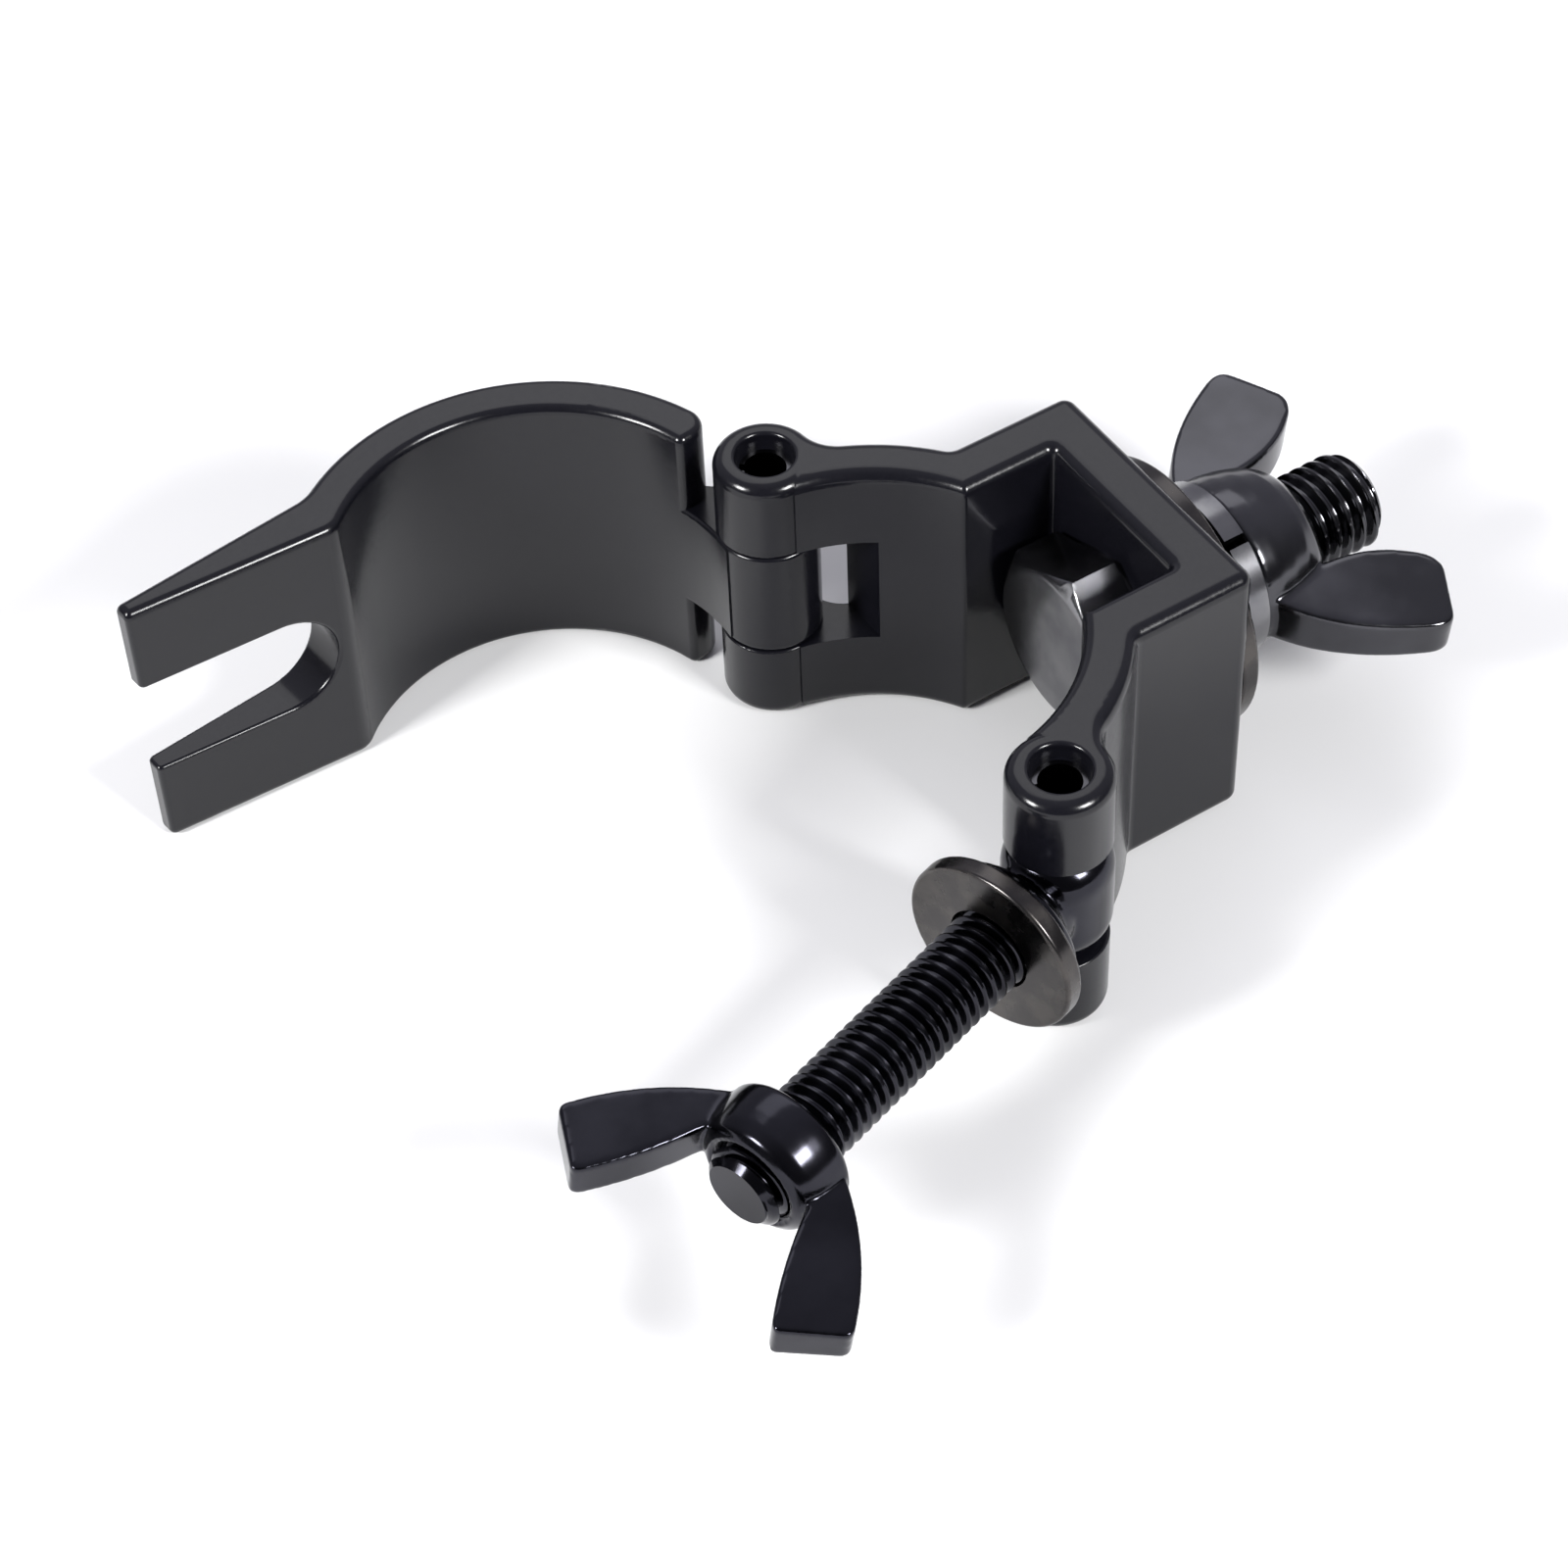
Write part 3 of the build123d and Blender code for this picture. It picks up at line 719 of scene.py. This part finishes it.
def wing_nut(name, node, body, start, axis, bolt_radius, sizes):
    seat = reach(node, start, axis)[0]
    place = bolt_frame(start + axis * seat, axis, sizes["turn"])
    foot = bolt_radius + sizes["foot_wall"]
    crown = bolt_radius + sizes["crown_wall"]
    hub_height = sizes["hub_height"]
    bore = bolt_radius + 0.05 * MM
    hub = [
        (bore, 0),
        (foot - 0.5 * MM, 0),
        (foot, 0.5 * MM),
        (foot, hub_height * 0.26),
        (foot * 0.82 + crown * 0.18, hub_height * 0.48),
        (foot * 0.45 + crown * 0.55, hub_height * 0.72),
        (crown - 0.2 * MM, hub_height * 0.90),
        (crown - 1.1 * MM, hub_height),
        (bore + 0.5 * MM, hub_height),
        (bore, hub_height - 0.5 * MM),
    ]
    stock = [turned(hub, place)]
    for side in (1, -1):
        back, front = (
            arc(*[((bolt_radius + outside * MM), above * MM) for outside, above in edge])
            for edge in (sizes["back"], sizes["front"])
        )
        outline = [(side * x, z) for x, z in rounded_outline(back, front, sizes["tip_rounding"])]
        stock.append(plate(outline, sizes["root"], sizes["tip"], WING_EDGE, place))
    nut = forged(name, stock, sizes["voxel"], 14, sizes["finish"])
    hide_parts(node)
    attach(nut, body)
    return nut


swing_nut_sizes = {
    "turn": -8.5,
    "foot_wall": 2.6 * MM,
    "crown_wall": 1.9 * MM,
    "hub_height": 5.9 * MM,
    "back": ((2.0, 0.7), (8.0, 5.6), (12.5, 12.1)),
    "front": ((7.1, 16.4), (4.0, 11.0), (1.6, 5.0)),
    "root": 4.6 * MM,
    "tip": 3.8 * MM,
    "voxel": 0.17 * MM,
    "tip_rounding": 0.8 * MM,
    "finish": black_zinc,
}
main_nut_sizes = {
    "turn": 6.0,
    "foot_wall": 3.6 * MM,
    "crown_wall": 2.1 * MM,
    "hub_height": 8.6 * MM,
    "back": ((2.8, 0.7), (9.2, 5.8), (14.2, 14.4)),
    "front": ((7.2, 18.2), (3.1, 13.4), (1.7, 7.0)),
    "root": 6.4 * MM,
    "tip": 4.4 * MM,
    "voxel": 0.20 * MM,
    "tip_rounding": 1.6 * MM,
    "finish": worn_zinc,
}
wing_nut(
    "swing_nut_forging", "swing_wing_nut", "swing_nut", swing_start, swing_axis, M8_RADIUS, swing_nut_sizes
)
wing_nut("main_nut_forging", "main_wing_nut", "main_nut", main_start, main_axis, M10_RADIUS, main_nut_sizes)

# %% [markdown]
# ## The set
#
# Black shiny things are lit by what they mirror. Two small bright softboxes stand in front,
# left and right of the camera, and draw the thin bright lines along the rounded edges. The
# room is dark on the camera's side and light behind the clamp, which gives the top faces
# their even grey sheen. The floor is plain white.

# %% Floor, world and lights
floor_mesh = bpy.data.meshes.new("floor")
FLOOR_HALF = 3.0
floor_corners = ((-1, -1), (1, -1), (1, 1), (-1, 1))
floor_mesh.from_pydata([(x * FLOOR_HALF, y * FLOOR_HALF, 0) for x, y in floor_corners], [], [(0, 1, 2, 3)])
floor = bpy.data.objects.new("floor", floor_mesh)
bpy.context.scene.collection.objects.link(floor)
floor.location.z = cad_box[0].z - 0.05 * MM
paper = material("white_paper")
paper_shader = add(
    paper.node_tree,
    "ShaderNodeBsdfPrincipled",
    None,
    {"Base Color": linear("#e4e4e4"), "Roughness": 0.9, "Specular IOR Level": 0.0},
)
finish_with(paper, paper_shader)
floor_mesh.materials.append(paper)

world = bpy.data.worlds.new("studio")
world.use_nodes = True
room = world.node_tree
background = room.nodes["Background"]
towards = add(room, "ShaderNodeTexCoord").outputs["Generated"]
facing = add(room, "ShaderNodeVectorMath", {"operation": "DOT_PRODUCT"}, {0: towards, 1: (0.40, 0.66, 0.64)})
brightness = add(
    room,
    "ShaderNodeMapRange",
    {"interpolation_type": "SMOOTHSTEP"},
    {"Value": facing.outputs["Value"], "From Min": -0.1, "From Max": 0.9, "To Min": 0.14, "To Max": 0.55},
)
background.inputs["Color"].default_value = linear("#eeedfb")
room.links.new(brightness.outputs[0], background.inputs["Strength"])
bpy.context.scene.world = world


def softbox(name, place, target, size, power):
    lamp = bpy.data.lights.new(name, "AREA")
    lamp.shape = "RECTANGLE"
    lamp.size, lamp.size_y = size
    lamp.energy = power
    light = bpy.data.objects.new(name, lamp)
    bpy.context.scene.collection.objects.link(light)
    light.location = place
    light.rotation_euler = (Vector(target) - Vector(place)).to_track_quat("-Z", "Y").to_euler()
    return light


centre = (cad_box[0] + cad_box[1]) / 2
SOFTBOX_DISTANCE = 0.8
SOFTBOX_SIZE = (0.22, 0.22)
SOFTBOX_POWER = 8.0
SKY_PLACE = Vector((0.35, 0.64, 0.8))
left_way = Vector((-0.83, 0.02, 0.55))
right_way = Vector((0.25, -0.77, 0.59))
softbox("left_softbox", centre + left_way * SOFTBOX_DISTANCE, centre, SOFTBOX_SIZE, SOFTBOX_POWER)
softbox("right_softbox", centre + right_way * SOFTBOX_DISTANCE, centre, SOFTBOX_SIZE, SOFTBOX_POWER)
softbox("sky_panel", SKY_PLACE, (SKY_PLACE.x, SKY_PLACE.y, 0), (0.8, 0.66), 2.2)

# %% [markdown]
# ## The camera
#
# A long lens looks down from above the left front corner, where both hinges and both nuts show.

# %% Place the camera
EYE_PLACE = Vector((-138.76, -215.48, 298.09)) * MM
LOOK_AZIMUTH = radians(59.115)
LOOK_DOWN = radians(48.393)
ROLL = radians(-2.631)
camera_data = bpy.data.cameras.new("camera")
camera_data.lens = 93.85
camera_data.sensor_width = 36
camera_data.clip_start = 0.01
camera = bpy.data.objects.new("camera", camera_data)
bpy.context.scene.collection.objects.link(camera)
look = Vector((cos(LOOK_AZIMUTH) * cos(LOOK_DOWN), sin(LOOK_AZIMUTH) * cos(LOOK_DOWN), -sin(LOOK_DOWN)))
camera.location = EYE_PLACE
camera.rotation_mode = "QUATERNION"
camera.rotation_quaternion = look.to_track_quat("-Z", "Y") @ Quaternion((0, 0, 1), ROLL)
bpy.context.scene.camera = camera
bpy.context.scene.view_settings.view_transform = "Standard"
